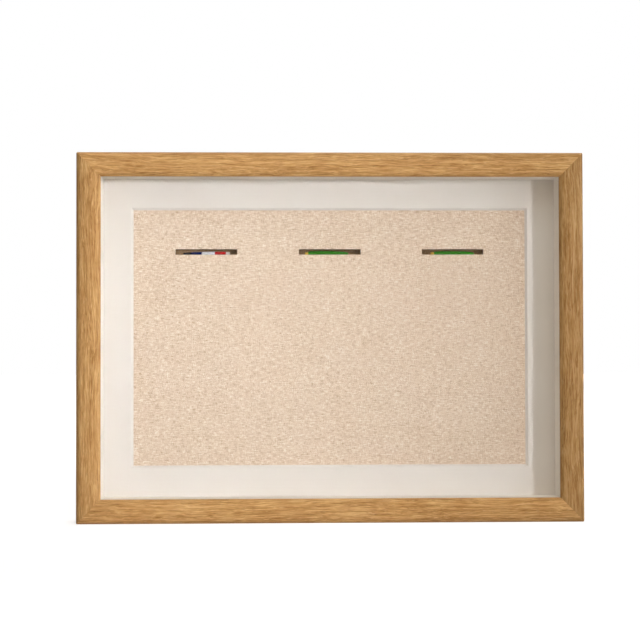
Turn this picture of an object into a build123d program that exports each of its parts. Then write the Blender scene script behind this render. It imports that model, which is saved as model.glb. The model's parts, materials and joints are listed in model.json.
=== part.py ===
from build123d import *
import math
import os

os.makedirs("parts", exist_ok=True)

# Medal display frame for a landscape A4 sheet, in millimetres. It stands on its bottom rail.
# +X is to the right and +Z is up as seen from the front, and the front faces -Y.
# The origin is under the middle of the whole object, hardware on the back included.

# Sheet that the frame is made for, and how the moulding holds it
sheet_width = 297.0
sheet_height = 210.0
lip_cover = 3.0
rebate_gap = 1.0

# Moulding section
face_width = 15.5
lip_depth = 4.0
shoulder_width = 5.4
shoulder_drop = 4.4
shoulder_bulge = 1.15
crown_rise = 0.5
arris_width = 2.6
arris_drop = 1.9
arris_bulge = 0.28
back_edge_ease = 0.6
corner_ease = 0.9
mitre_gap = 0.12

# Layers behind the lip, front to back
glazing_thickness = 2.0
liner_depth = 16.0
liner_thickness = 2.5
mat_thickness = 1.4
linen_thickness = 0.6
board_thickness = 3.0
packing_depth = 2.6
packing_width = 10.0
back_thickness = 2.5
back_recess = 0.3

# Window of the mat, and how far the linen is turned over the back of its board
window_width = 254.0
window_height = 165.0
linen_turn = 14.0

# Ribbon slots
slot_length = 40.0
slot_height = 3.5
slot_pitch = 80.0
slot_below_window_top = 27.0

# Ribbons, folded double, with the fold in the slot and both tails hanging behind the board
wide_ribbon = 30.0
narrow_ribbon = 28.0
centre_ribbon_shift = -2.0
ribbon_thickness = 0.4
ribbon_layer_gap = 0.4
ribbon_seat = 0.2
fold_set_back = 0.7
ribbon_tail = 46.0
ribbon_tail_step = 6.0

# Tape over the tails
tape_thickness = 0.2
tape_seat = 0.05
tape_height = 15.0
tape_grip = 9.0
tape_slope = 2.5
tape_drop = 26.0

# Corner wedges, two in each mitre, placed along it from the outer corner
wedge_leg = 3.2
wedge_thickness = 0.6
wedge_height = 10.0
wedge_half_angle = 60.0
wedge_set_in = 0.2
wedge_fit = 0.05
outer_wedge_inset = 5.0
inner_wedge_inset = 8.6

# Turn buttons and the screws that they swivel on
button_thickness = 1.2
button_eye_radius = 4.3
button_tip_radius = 2.8
button_reach = 11.0
button_stand_off = 0.15
screw_radius = 1.5
screw_head_radius = 2.9
screw_head_height = 1.7
screw_crown_radius = 2.0
screw_length = 11.0
screw_head_gap = 0.1
swivel_fit = 0.08
pilot_fit = 0.03

# Strap hangers with their D-rings
hanger_drop = 60.0
strap_thickness = 0.8
strap_width = 6.6
strap_screw_drop = 14.5
strap_wrap_angle = 50.0
strap_leaf_gap = 0.05
strap_hole_fit = 0.1
ring_wire_radius = 0.9
ring_wire_sides = 8
ring_leg = 3.2
ring_corner_radius = 1.2
ring_fit = 0.08
ring_side_play = 0.1
ring_rest_gap = 0.15

# Wall bumpers
bumper_radius = 4.5
bumper_height = 4.2
bumper_bevel = 1.2
bumper_rise = 20.0

# Sizes and places worked out from those above
wall = face_width - lip_cover - rebate_gap
wall_middle = wall / 2
outer_width = sheet_width - 2 * lip_cover + 2 * face_width
outer_height = sheet_height - 2 * lip_cover + 2 * face_width
linen_depth = board_thickness + 2 * linen_thickness
rebate_depth = glazing_thickness + liner_depth + mat_thickness + linen_depth
rebate_depth += packing_depth + back_thickness + back_recess
frame_depth = lip_depth + rebate_depth

ring_bar_half = strap_width / 2 + ring_side_play
ring_width = 2 * (ring_bar_half + ring_corner_radius)
ring_axis_height = strap_thickness + ring_wire_radius + ring_fit
loop_radius = ring_wire_radius + ring_fit + strap_thickness / 2
strap_height = 2 * strap_thickness + strap_leaf_gap
loop_top = ring_axis_height + loop_radius + strap_thickness / 2
leg_end_drop = ring_corner_radius + ring_leg
ring_height = leg_end_drop + ring_width / 2
strap_edge_drop = leg_end_drop + math.sqrt((ring_width / 2) ** 2 - (strap_width / 2) ** 2)
bow_lift = strap_height + ring_rest_gap + ring_wire_radius - ring_axis_height
ring_tilt = math.asin(bow_lift / strap_edge_drop)
bow_top = ring_axis_height + ring_height * math.sin(ring_tilt) + ring_wire_radius
hardware_height = max(bumper_height, loop_top, bow_top, strap_height + screw_head_height)
total_depth = frame_depth + hardware_height

front = -total_depth / 2
back = front + frame_depth
centre_z = outer_height / 2
glazing_y = front + lip_depth
liner_y = glazing_y + glazing_thickness
mat_y = liner_y + liner_depth
linen_y = mat_y + mat_thickness
board_y = linen_y + linen_thickness
board_back_y = board_y + board_thickness
packing_y = linen_y + linen_depth
back_board_y = packing_y + packing_depth

stile_x = outer_width / 2 - wall_middle
rail_button_x = outer_width / 4
button_head_y = back + button_stand_off + button_thickness + screw_head_gap
strap_head_y = back + strap_height
ring_axis_y = back + ring_axis_height
ring_axis_z = outer_height - hanger_drop
strap_screw_z = ring_axis_z - strap_screw_drop

slot_z = centre_z + window_height / 2 - slot_below_window_top
slot_floor = slot_z - slot_height / 2
slot_xs = [-slot_pitch, 0.0, slot_pitch]
ribbons = {
    "ribbon_left": (wide_ribbon, -slot_pitch),
    "ribbon_centre": (narrow_ribbon, centre_ribbon_shift),
    "ribbon_right": (narrow_ribbon, slot_pitch),
}
ribbon_step = ribbon_thickness + ribbon_layer_gap


def keep(solid, name):
    """Writes one sub-part."""
    export_step(solid, f"parts/{name}.step")


def slab(width, height, depth, y, x=0.0, z=centre_z):
    """A flat rectangular piece whose front face is at y."""
    return Pos(x, y + depth / 2, z) * Box(width, depth, height)


def lying_disc(radius, depth, x, y, z):
    """A cylinder along Y that starts at y and runs back."""
    return Pos(x, y + depth / 2, z) * Rot(90, 0, 0) * Cylinder(radius, depth)


def border_strips(name, width, height, strip, depth, y):
    """Four strips round the inside of a rectangle: two full-width ones and two between them."""
    edge_z = (height - strip) / 2
    edge_x = (width - strip) / 2
    keep(slab(width, strip, depth, y, z=centre_z + edge_z), f"{name}_top")
    keep(slab(width, strip, depth, y, z=centre_z - edge_z), f"{name}_bottom")
    keep(slab(strip, height - 2 * strip, depth, y, x=-edge_x), f"{name}_left")
    keep(slab(strip, height - 2 * strip, depth, y, x=edge_x), f"{name}_right")


# Screws


def screw_body(x, head_seat_y, z):
    """A pan-headed wood screw along Y, with the underside of its head at head_seat_y."""
    with BuildSketch(Plane.XY) as half_section:
        Polygon(
            (0, screw_head_height),
            (0, -screw_length),
            (screw_radius, -screw_length),
            (screw_radius, 0),
            (screw_head_radius, 0),
            (screw_crown_radius, screw_head_height),
            align=None,
        )
    return Pos(x, head_seat_y, z) * revolve(half_section.sketch, Axis.Y)


def pilot_hole(x, z):
    """The hole in the moulding for one screw, open at the back face."""
    return lying_disc(screw_radius + pilot_fit, screw_length, x, back - screw_length, z)


# Moulding and its corner wedges


def wedge_prism(side_x, side_z, inset, grow, start_y, depth):
    """A V along Y in one mitre, its point inset from the outer corner, running forward from start_y."""
    apex_x = side_x * (outer_width / 2 - inset)
    apex_z = centre_z + side_z * (outer_height / 2 - inset)
    to_corner = math.atan2(side_z, side_x)
    leg = wedge_leg + grow
    spread = math.radians(wedge_half_angle)
    leg_ends = [
        (apex_x + leg * math.cos(to_corner + turn), apex_z + leg * math.sin(to_corner + turn))
        for turn in (-spread, spread)
    ]
    with BuildSketch(Plane.XZ.offset(-start_y)) as plan:
        with BuildLine():
            Polyline(leg_ends[0], (apex_x, apex_z), leg_ends[1])
        trace(line_width=wedge_thickness + 2 * grow)
    return extrude(plan.sketch, depth)


def corner_wedges(grow, start_y, depth):
    """All the wedges, or with grow the slots that they are driven into."""
    return [
        wedge_prism(side_x, side_z, inset, grow, start_y, depth)
        for side_x in (-1, 1)
        for side_z in (-1, 1)
        for inset in (outer_wedge_inset, inner_wedge_inset)
    ]


def moulding_section():
    """The oak section on the YZ plane, with its outer edge at z = 0 and its lip at the front."""
    crown_edge = front + crown_rise
    shoulder_foot = (front + shoulder_drop, 0)
    shoulder_top = (crown_edge, shoulder_width)
    arris_top = (crown_edge, face_width - arris_width)
    arris_foot = (crown_edge + arris_drop, face_width)
    crown_peak = (front, (shoulder_width + face_width - arris_width) / 2)
    with BuildSketch(Plane.YZ) as section:
        with BuildLine():
            SagittaArc(shoulder_foot, shoulder_top, shoulder_bulge)
            ThreePointArc(shoulder_top, crown_peak, arris_top)
            SagittaArc(arris_top, arris_foot, arris_bulge)
            Polyline(
                arris_foot,
                (front + lip_depth, face_width),
                (front + lip_depth, wall),
                (back, wall),
                (back, back_edge_ease),
                (back - back_edge_ease, 0),
                shoulder_foot,
            )
        make_face()
    return section.sketch


def mitred_rail(length):
    """A moulding of the given outer length along X, mitred at both ends, outer edge at z = 0."""
    half = length / 2 - mitre_gap / math.sqrt(2)
    with BuildSketch(Plane.XZ) as plan:
        Polygon(
            (-half, 0),
            (half, 0),
            (half - face_width, face_width),
            (face_width - half, face_width),
            align=None,
        )
    bar = extrude(moulding_section(), length / 2, both=True)
    return bar & extrude(plan.sketch, total_depth, both=True)


def moulding():
    """The four mouldings with eased outer corners, slots for the wedges and holes for the screws."""
    with BuildSketch(Plane.XZ) as plan:
        with Locations((0, centre_z)):
            RectangleRounded(outer_width, outer_height, corner_ease)
    eased_outline = extrude(plan.sketch, total_depth, both=True)
    cuts = corner_wedges(wedge_fit, back, wedge_set_in + wedge_height + wedge_fit)
    cuts += [pilot_hole(x, z) for x, z, pointing in button_places.values()]
    cuts += [pilot_hole(side * stile_x, strap_screw_z) for side in (-1, 1)]
    middle = Pos(0, 0, centre_z)
    to_side = Pos(0, 0, -outer_width / 2)
    to_foot = Pos(0, 0, -centre_z)
    level = mitred_rail(outer_width)
    upright = mitred_rail(outer_height)
    placed = {
        "rail_bottom": level,
        "rail_top": middle * Rot(0, 180, 0) * to_foot * level,
        "stile_left": middle * Rot(0, 90, 0) * to_side * upright,
        "stile_right": middle * Rot(0, -90, 0) * to_side * upright,
    }
    for name, piece in placed.items():
        keep((piece & eased_outline) - cuts, name)


# Boards and cloth


def slot_cutters():
    """The ribbon slots as long solids through the whole depth."""
    with BuildSketch(Plane.XZ) as plan:
        with Locations(*[(x, slot_z) for x in slot_xs]):
            Rectangle(slot_length, slot_height)
    return extrude(plan.sketch, total_depth, both=True)


def window_mat():
    """The mat, whose window widens to the front with a 45 degree bevel."""
    with BuildSketch(Plane.XZ.offset(-linen_y)) as plan:
        with Locations((0, centre_z)):
            Rectangle(window_width, window_height)
    bevelled_window = extrude(plan.sketch, mat_thickness, taper=-45)
    return slab(sheet_width, sheet_height, mat_thickness, mat_y) - bevelled_window


def slotted_board():
    """The board under the linen."""
    board_width = sheet_width - 2 * linen_thickness
    board_height = sheet_height - 2 * linen_thickness
    return slab(board_width, board_height, board_thickness, board_y)


def linen_cover():
    """Linen over the front and edges of the board, turned over its back and cut at the slots."""
    wrapped = slab(sheet_width, sheet_height, linen_depth, linen_y) - slotted_board()
    open_width = sheet_width - 2 * linen_turn
    open_height = sheet_height - 2 * linen_turn
    return wrapped - slab(open_width, open_height, linen_depth, board_back_y) - slot_cutters()


def ribbon_loop(width, x):
    """A folded ribbon: the fold lies on the slot's floor, both layers turn down behind the board."""
    inner_bend = ribbon_seat + ribbon_thickness / 2
    outer_bend = inner_bend + ribbon_step
    fold_radius = ribbon_step / 2
    inner_y = board_back_y + inner_bend
    outer_y = board_back_y + outer_bend
    floor_z = slot_floor + inner_bend
    fold_y = linen_y + fold_set_back + ribbon_thickness / 2 + fold_radius
    with BuildSketch(Plane.YZ) as side:
        with BuildLine():
            rise = Line((inner_y, slot_z - ribbon_tail + ribbon_tail_step), (inner_y, slot_floor))
            turn_in = JernArc(rise @ 1, rise % 1, inner_bend, 90)
            run_in = Line(turn_in @ 1, (fold_y, floor_z))
            fold = JernArc(run_in @ 1, run_in % 1, fold_radius, -180)
            run_out = Line(fold @ 1, (board_back_y, floor_z + ribbon_step))
            turn_down = JernArc(run_out @ 1, run_out % 1, outer_bend, -90)
            Line(turn_down @ 1, (outer_y, slot_z - ribbon_tail))
        trace(line_width=ribbon_thickness)
    return Pos(x, 0, 0) * extrude(side.sketch, width / 2, both=True)


def ribbon_tape(width, x):
    """A strip of tape across both tails, stuck to the back of the board at each side."""
    low_y = board_back_y + tape_seat + tape_thickness / 2
    high_y = low_y + ribbon_seat + 2 * ribbon_thickness + ribbon_layer_gap
    top_half = width / 2 + tape_thickness
    foot_half = top_half + tape_slope
    end_half = foot_half + tape_grip
    with BuildSketch(Plane.XY.offset(slot_z - tape_drop)) as plan:
        with BuildLine():
            Polyline(
                (x - end_half, low_y),
                (x - foot_half, low_y),
                (x - top_half, high_y),
                (x + top_half, high_y),
                (x + foot_half, low_y),
                (x + end_half, low_y),
            )
        trace(line_width=tape_thickness)
    return extrude(plan.sketch, tape_height / 2, both=True)


# Turn buttons, each placed by its screw and the way it points

button_places = {
    "turn_button_top_left": (-rail_button_x, outer_height - wall_middle, -90),
    "turn_button_top_right": (rail_button_x, outer_height - wall_middle, -90),
    "turn_button_bottom_left": (-rail_button_x, wall_middle, 90),
    "turn_button_bottom_right": (rail_button_x, wall_middle, 90),
    "turn_button_side_left": (-stile_x, centre_z, 0),
    "turn_button_side_right": (stile_x, centre_z, 180),
}


def turn_button(x, z, pointing):
    """A flat button that tapers from its eye to its tip, lying over the edge of the back board."""
    with BuildSketch(Plane.XZ) as plan:
        with BuildLine():
            CenterArc((0, 0), button_eye_radius, 0, 360)
            CenterArc((button_reach, 0), button_tip_radius, 0, 360)
        make_hull()
    plate = extrude(plan.sketch, -button_thickness)
    plate -= lying_disc(screw_radius + swivel_fit, button_thickness, 0, 0, 0)
    return Pos(x, back + button_stand_off, z) * Rot(0, -pointing, 0) * plate


# Strap hangers


def hanger_strap(x):
    """A strap rolled round the bar of its ring, with both leaves under one screw."""
    leaf_y = back + strap_thickness / 2
    upper_leaf_y = leaf_y + strap_thickness + strap_leaf_gap
    strap_end_z = strap_screw_z - strap_width / 2
    with BuildSketch(Plane.YZ) as side:
        with BuildLine():
            under_leaf = Line((leaf_y, strap_end_z), (leaf_y, ring_axis_z))
            roll = JernArc(under_leaf @ 1, under_leaf % 1, loop_radius, -180 - strap_wrap_angle)
            slope = (roll @ 1).X - upper_leaf_y
            crease = (upper_leaf_y, (roll @ 1).Y - slope / math.tan(math.radians(strap_wrap_angle)))
            Polyline(roll @ 1, crease, (upper_leaf_y, strap_end_z))
        trace(line_width=strap_thickness)
    straight = strap_screw_drop + loop_top
    with BuildSketch(Plane.XZ) as plan:
        with Locations((0, strap_screw_z + straight / 2)):
            Rectangle(strap_width, straight)
        with Locations((0, strap_screw_z)):
            Circle(strap_width / 2)
            Circle(screw_radius + strap_hole_fit, mode=Mode.SUBTRACT)
    strip = extrude(side.sketch, strap_width / 2, both=True)
    return Pos(x, 0, 0) * (strip & extrude(plan.sketch, total_depth, both=True))


def hanger_ring(x):
    """A D-ring of wire, hanging from its bar with its bow leaning on the strap."""
    half_width = ring_width / 2
    with BuildLine(Plane.XZ) as path:
        Line((-ring_bar_half, 0), (ring_bar_half, 0))
        CenterArc((ring_bar_half, -ring_corner_radius), ring_corner_radius, 0, 90)
        Line((half_width, -ring_corner_radius), (half_width, -leg_end_drop))
        CenterArc((0, -leg_end_drop), half_width, 180, 180)
        Line((-half_width, -leg_end_drop), (-half_width, -ring_corner_radius))
        CenterArc((-ring_bar_half, -ring_corner_radius), ring_corner_radius, 90, 90)
    ring = sweep(Plane.YZ * RegularPolygon(ring_wire_radius, ring_wire_sides), path.wire())
    return Pos(x, ring_axis_y, ring_axis_z) * Rot(math.degrees(ring_tilt), 0, 0) * ring


def wall_bumper(x):
    """A round rubber buffer with a flat face to the wall."""
    disc = lying_disc(bumper_radius, bumper_height, x, back, bumper_rise)
    return chamfer(disc.faces().sort_by(Axis.Y)[-1].edges(), bumper_bevel)


moulding()
keep(Compound(corner_wedges(0, back - wedge_set_in, wedge_height)), "corner_wedges")

keep(slab(sheet_width, sheet_height, glazing_thickness, glazing_y), "glazing")
border_strips("liner", sheet_width, sheet_height, liner_thickness, liner_depth, liner_y)
keep(window_mat(), "window_mat")
keep(linen_cover(), "linen_cover")
keep(slotted_board() - slot_cutters(), "slotted_board")
for name, (width, x) in ribbons.items():
    keep(ribbon_loop(width, x), name)
keep(Compound([ribbon_tape(width, x) for width, x in ribbons.values()]), "ribbon_tapes")
border_strips("packing", sheet_width, sheet_height, packing_width, packing_depth, packing_y)
keep(slab(sheet_width, sheet_height, back_thickness, back_board_y), "back_board")

for name, place in button_places.items():
    keep(turn_button(*place), name)
button_screws = [screw_body(x, button_head_y, z) for x, z, pointing in button_places.values()]
keep(Compound(button_screws), "turn_button_screws")

for side, x in (("left", -stile_x), ("right", stile_x)):
    keep(hanger_strap(x), f"hanger_strap_{side}")
    keep(hanger_ring(x), f"hanger_ring_{side}")
    keep(wall_bumper(x), f"wall_bumper_{side}")
keep(Compound([screw_body(x, strap_head_y, strap_screw_z) for x in (-stile_x, stile_x)]), "hanger_screws")
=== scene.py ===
import json
import math

import bmesh
import bpy
from mathutils import Matrix, Vector


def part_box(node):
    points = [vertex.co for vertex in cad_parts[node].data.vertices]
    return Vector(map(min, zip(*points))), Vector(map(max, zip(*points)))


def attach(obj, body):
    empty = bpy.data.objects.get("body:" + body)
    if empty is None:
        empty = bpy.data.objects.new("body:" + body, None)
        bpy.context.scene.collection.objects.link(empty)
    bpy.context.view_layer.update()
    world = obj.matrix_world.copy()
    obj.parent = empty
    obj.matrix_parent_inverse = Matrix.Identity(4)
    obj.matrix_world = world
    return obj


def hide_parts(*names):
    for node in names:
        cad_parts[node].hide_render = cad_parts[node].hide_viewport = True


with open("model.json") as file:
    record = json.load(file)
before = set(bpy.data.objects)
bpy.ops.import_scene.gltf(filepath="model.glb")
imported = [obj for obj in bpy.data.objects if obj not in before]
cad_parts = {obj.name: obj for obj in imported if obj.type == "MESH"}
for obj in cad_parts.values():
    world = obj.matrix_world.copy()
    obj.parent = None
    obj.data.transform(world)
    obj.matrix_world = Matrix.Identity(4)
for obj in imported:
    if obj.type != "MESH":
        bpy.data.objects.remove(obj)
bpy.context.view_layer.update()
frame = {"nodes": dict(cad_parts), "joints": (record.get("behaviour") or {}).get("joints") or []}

# Medal display frame: oak mouldings round a shallow white box, with a slub linen panel behind a bevelled mat
# and three ribbon slots. All lengths are in metres.

nodes = frame["nodes"]
joints = {joint["child"]: Vector(joint["pos_m"]) for joint in frame["joints"]}
MM = 0.001

# Places read from the frame

rail_low, rail_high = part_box("rail_bottom")
front_y = rail_low.y
back_y = rail_high.y
outer_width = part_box("stile_right")[1].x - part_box("stile_left")[0].x
outer_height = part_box("rail_top")[1].z - rail_low.z
centre_z = rail_low.z + outer_height / 2
face_width = rail_high.z - rail_low.z
board_low, board_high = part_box("slotted_board")
glazing_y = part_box("glazing")[0].y
button_names = [name for name in joints if name.startswith("turn_button")]

# Sizes that the boxes don't tell

LIP_COVER = 3.0 * MM
REBATE_GAP = 1.0 * MM
MITRE_GAP = 0.02 * MM
SLOT_LENGTH = 40.0 * MM
SLOT_HEIGHT = 3.5 * MM
SLOT_PITCH = 80.0 * MM
SLOT_Z = 173.0 * MM
LINEN_TURN = 14.0 * MM
SCREW_RADIUS = 1.5 * MM
SCREW_LENGTH = 11.0 * MM
PILOT_FIT = 0.03 * MM
HEAD_RADIUS = 2.9 * MM
HEAD_HEIGHT = 1.7 * MM
WEDGE_INSETS = (5.0 * MM, 8.6 * MM)
WEDGE_LEG_ANGLES = (15, -105)

# How meshes are joined, shaded and stood up

WELD = 0.001 * MM
SMOOTH_ANGLE = math.radians(35)
UPRIGHT = (math.pi / 2, 0, 0)

# Camera, fitted to the photograph's corners, window and slots, with its angles in radians

CAMERA_PLACE = (-0.02831, -0.85754, 0.11379)
CAMERA_TILT_UP = 0.0174
CAMERA_ROLL = 0.0021
CAMERA_TURN = -0.0253
PHOTO_PIXELS = 640
FOCAL_PIXELS = 1329.9
SENSOR_WIDTH = 36.0


def set_camera():
    """The camera of the photograph, about level with the middle of the frame and almost square to it."""
    lens = bpy.data.cameras.new("camera")
    lens.sensor_width = SENSOR_WIDTH
    lens.lens = FOCAL_PIXELS / PHOTO_PIXELS * SENSOR_WIDTH
    lens.clip_start = 0.01
    lens.clip_end = 50
    camera = bpy.data.objects.new("camera", lens)
    camera.location = CAMERA_PLACE
    camera.rotation_euler = (math.pi / 2 + CAMERA_TILT_UP, CAMERA_ROLL, CAMERA_TURN)
    bpy.context.scene.collection.objects.link(camera)
    bpy.context.scene.camera = camera


# Node trees


class NodeTree:
    """Short ways to add nodes to a tree, for finishes and for shapes."""

    def __init__(self, tree):
        self.tree = tree

    def add(self, kind, inputs=None, **settings):
        """A node with its settings. inputs go by name or number, each a value or another node's socket."""
        node = self.tree.nodes.new(kind)
        for name, value in settings.items():
            setattr(node, name, value)
        for key, value in (inputs or {}).items():
            self.feed(node.inputs[key], value)
        return node

    def feed(self, socket, value):
        """Links or sets one input."""
        if isinstance(value, bpy.types.NodeSocket):
            self.tree.links.new(value, socket)
        else:
            socket.default_value = value

    def math(self, operation, first, second=0.0):
        return self.add("ShaderNodeMath", {0: first, 1: second}, operation=operation).outputs[0]

    def times(self, first, second):
        return self.math("MULTIPLY", first, second)

    def minus(self, first, second):
        return self.math("SUBTRACT", first, second)

    def sum(self, *values):
        total = values[0]
        for value in values[1:]:
            total = self.math("ADD", total, value)
        return total

    def vector(self, operation, first, second=(0.0, 0.0, 0.0)):
        return self.add("ShaderNodeVectorMath", {0: first, 1: second}, operation=operation).outputs[0]

    def split(self, vector):
        return self.add("ShaderNodeSeparateXYZ", {0: vector}).outputs[:3]

    def joined(self, x=0.0, y=0.0, z=0.0):
        return self.add("ShaderNodeCombineXYZ", {0: x, 1: y, 2: z}).outputs[0]

    def span(self, value, low, high, to_low=0.0, to_high=1.0):
        """Value taken from one range to another and held inside it."""
        inputs = {0: value, 1: low, 2: high, 3: to_low, 4: to_high}
        return self.add("ShaderNodeMapRange", inputs).outputs[0]

    def chance(self, x, y=0.0):
        """A random value for each whole pair of numbers."""
        place = self.joined(x, y)
        return self.add("ShaderNodeTexWhiteNoise", {"Vector": place}, noise_dimensions="2D").outputs["Value"]


# Finishes


def tint(red, green, blue):
    """A colour given as it looks on a screen, from 0 to 255, as the shader needs it."""
    shares = [value / 255 for value in (red, green, blue)]
    return [s / 12.92 if s <= 0.04045 else ((s + 0.055) / 1.055) ** 2.4 for s in shares] + [1.0]


class Finish(NodeTree):
    """One material: its shader with its plain values, and short ways to add the nodes that drive it."""

    def __init__(self, name, **values):
        self.material = bpy.data.materials.new(name)
        self.material.use_nodes = True
        super().__init__(self.material.node_tree)
        self.shader = self.tree.nodes["Principled BSDF"]
        for socket, value in values.items():
            self.shader.inputs[socket.replace("_", " ")].default_value = value
        self.place = self.add("ShaderNodeTexCoord").outputs["Object"]

    def set(self, **inputs):
        """Drives inputs of the shader."""
        for name, value in inputs.items():
            self.feed(self.shader.inputs[name.replace("_", " ")], value)

    def scaled(self, vector, factors):
        return self.vector("MULTIPLY", vector, factors)

    def noise(self, vector, scale=1.0, detail=2.0, roughness=0.5, distortion=0.0):
        inputs = {"Vector": vector, "Scale": scale, "Detail": detail}
        inputs.update({"Roughness": roughness, "Distortion": distortion})
        return self.add("ShaderNodeTexNoise", inputs).outputs[0]

    def ramp(self, value, stops):
        """Colours along a value, from a list of (place, colour)."""
        node = self.add("ShaderNodeValToRGB", {0: value})
        band = node.color_ramp.elements
        while len(band) < len(stops):
            band.new(0.5)
        for element, (place, colour) in zip(band, stops):
            element.position = place
            element.color = colour
        return node.outputs[0]

    def mix(self, share, first, second):
        return self.add("ShaderNodeMix", {0: share, 6: first, 7: second}, data_type="RGBA").outputs[2]

    def blend(self, share, first, second):
        """A number between two others."""
        return self.add("ShaderNodeMix", {0: share, 2: first, 3: second}).outputs[0]

    def bump(self, height, distance, strength=1.0):
        """A relief of the given depth in metres."""
        inputs = {"Height": height, "Distance": distance, "Strength": strength}
        return self.add("ShaderNodeBump", inputs).outputs[0]


def oak(name, along, plank_shift, slope, painted_light_and_shade):
    """Light oak with a clear satin finish. The grain runs along one axis, a little askew by slope. The last
    argument makes the plank lighter or deeper than its neighbours: this is painted light and shade, with
    the rails palest and the right stile deepest, where the light falls off to the right. Each pattern has
    its scales along, across and into the plank."""

    def wood(red, green, blue):
        return [painted_light_and_shade * share for share in tint(red, green, blue)[:3]] + [1.0]

    f = Finish(name, Specular_IOR_Level=0.06)
    x, y, z = f.split(f.place)
    length, across = (x, z) if along == "x" else (z, x)
    across = f.sum(across, f.times(length, slope))
    length = f.sum(length, plank_shift)
    plank = f.joined(length, across, y)

    most_wander = 8.5 * MM
    wander = f.times(f.minus(f.noise(f.scaled(plank, (14, 50, 50)), detail=3), 0.5), most_wander)
    bent = f.joined(length, f.sum(across, wander), f.sum(y, wander))

    tone = f.noise(f.scaled(plank, (16, 60, 60)), detail=2)
    bands = f.noise(f.scaled(bent, (16, 600, 480)), detail=3, roughness=0.6)
    dashes = f.noise(f.scaled(bent, (75, 1400, 1400)), detail=2, roughness=0.6)
    fibres = f.noise(f.scaled(bent, (240, 3600, 3600)), detail=2)
    pores = f.span(f.noise(f.scaled(bent, (240, 3000, 3000)), detail=1), 0.6, 0.7)
    rays = f.span(f.noise(f.scaled(bent, (210, 800, 800)), detail=1), 0.64, 0.76)
    early_wood = f.span(bands, 0.6, 0.42, 0.25, 1.0)
    pores = f.times(pores, early_wood)

    figure = f.sum(f.times(bands, 0.3), f.times(dashes, 0.5), f.times(fibres, 0.2))
    colour = f.ramp(figure, [
        (0.38, wood(142, 101, 56)),
        (0.46, wood(170, 127, 76)),
        (0.53, wood(190, 148, 93)),
        (0.62, wood(208, 171, 117)),
    ])
    colour = f.mix(f.span(tone, 0.35, 0.68, 0.0, 0.25), colour, wood(178, 131, 78))
    colour = f.mix(f.times(rays, 0.3), colour, wood(216, 182, 130))
    colour = f.mix(f.times(pores, 0.55), colour, wood(104, 67, 38))
    relief = f.minus(f.times(dashes, 0.6), pores)
    roughness = f.sum(f.span(dashes, 0.3, 0.7, 0.58, 0.46), f.times(pores, 0.2))
    f.set(Base_Color=colour, Roughness=roughness, Normal=f.bump(relief, 0.07 * MM, strength=0.7))
    return f.material


def card(name, colour, fleck):
    """White mount board: a faint paper tooth and a very slight unevenness of tone."""
    f = Finish(name, Specular_IOR_Level=0.3)
    tooth = f.noise(f.place, 2600, detail=3, roughness=0.6)
    cloud = f.noise(f.place, 30, detail=2)
    shade = f.blend(0.5, tooth, cloud)
    body = f.mix(f.span(shade, 0.35, 0.65), fleck, colour)
    roughness = f.span(tooth, 0.3, 0.7, 0.82, 0.94)
    f.set(Base_Color=body, Roughness=roughness, Normal=f.bump(tooth, 0.02 * MM, strength=0.35))
    return f.material


def slub_linen(name):
    """Cream plain weave. Its threads thicken and pale in short slubs, the weft more than the warp."""
    thread_pitch = 0.56 * MM
    most_sway = 0.9
    f = Finish(name, Specular_IOR_Level=0.2)
    x, unused, z = f.split(f.place)
    sway_x = f.times(f.noise(f.scaled(f.place, (260, 1, 90)), detail=1), most_sway)
    sway_z = f.times(f.noise(f.scaled(f.place, (90, 1, 260)), detail=1), most_sway)
    warp = f.sum(f.math("DIVIDE", x, thread_pitch), sway_x)
    weft = f.sum(f.math("DIVIDE", z, thread_pitch), sway_z)
    warp_wave = f.math("SINE", f.times(warp, math.pi))
    weft_wave = f.math("SINE", f.times(weft, math.pi))
    weft_on_top = f.span(f.times(warp_wave, weft_wave), -0.25, 0.25)
    crown = f.blend(weft_on_top, f.math("ABSOLUTE", warp_wave), f.math("ABSOLUTE", weft_wave))

    warp_thread = f.times(f.math("FLOOR", warp), 7.3)
    weft_thread = f.times(f.math("FLOOR", weft), 5.9)
    warp_yarn = f.noise(f.joined(warp_thread, 0.0, f.times(z, 420)))
    weft_yarn = f.noise(f.joined(f.times(x, 300), 5.0, weft_thread))
    yarn = f.blend(weft_on_top, warp_yarn, weft_yarn)
    weft_slubs = f.noise(f.scaled(f.place, (290, 1, 1500)), detail=3, roughness=0.6, distortion=0.3)
    warp_slubs = f.noise(f.scaled(f.place, (1500, 1, 420)), detail=2, distortion=0.3)
    patches = f.noise(f.scaled(f.place, (60, 1, 80)), detail=3)
    thread = f.sum(
        f.times(yarn, 0.34),
        f.times(weft_slubs, 0.4),
        f.times(warp_slubs, 0.21),
        f.times(patches, 0.05),
    )
    colour = f.ramp(thread, [
        (0.40, tint(202, 173, 142)),
        (0.46, tint(224, 200, 172)),
        (0.52, tint(235, 213, 188)),
        (0.59, tint(251, 239, 222)),
    ])
    # The low parts of the weave, between the threads, are painted darker: painted shade.
    colour = f.mix(f.span(crown, 0.05, 0.5, 0.32, 0.0), colour, tint(168, 141, 110))
    relief = f.sum(f.times(crown, 0.5), thread)
    roughness = f.span(thread, 0.4, 0.6, 0.95, 0.82)
    f.set(Base_Color=colour, Roughness=roughness, Normal=f.bump(relief, 0.16 * MM, strength=0.8))
    f.set(Sheen_Weight=0.08, Sheen_Roughness=0.6)
    return f.material


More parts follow.
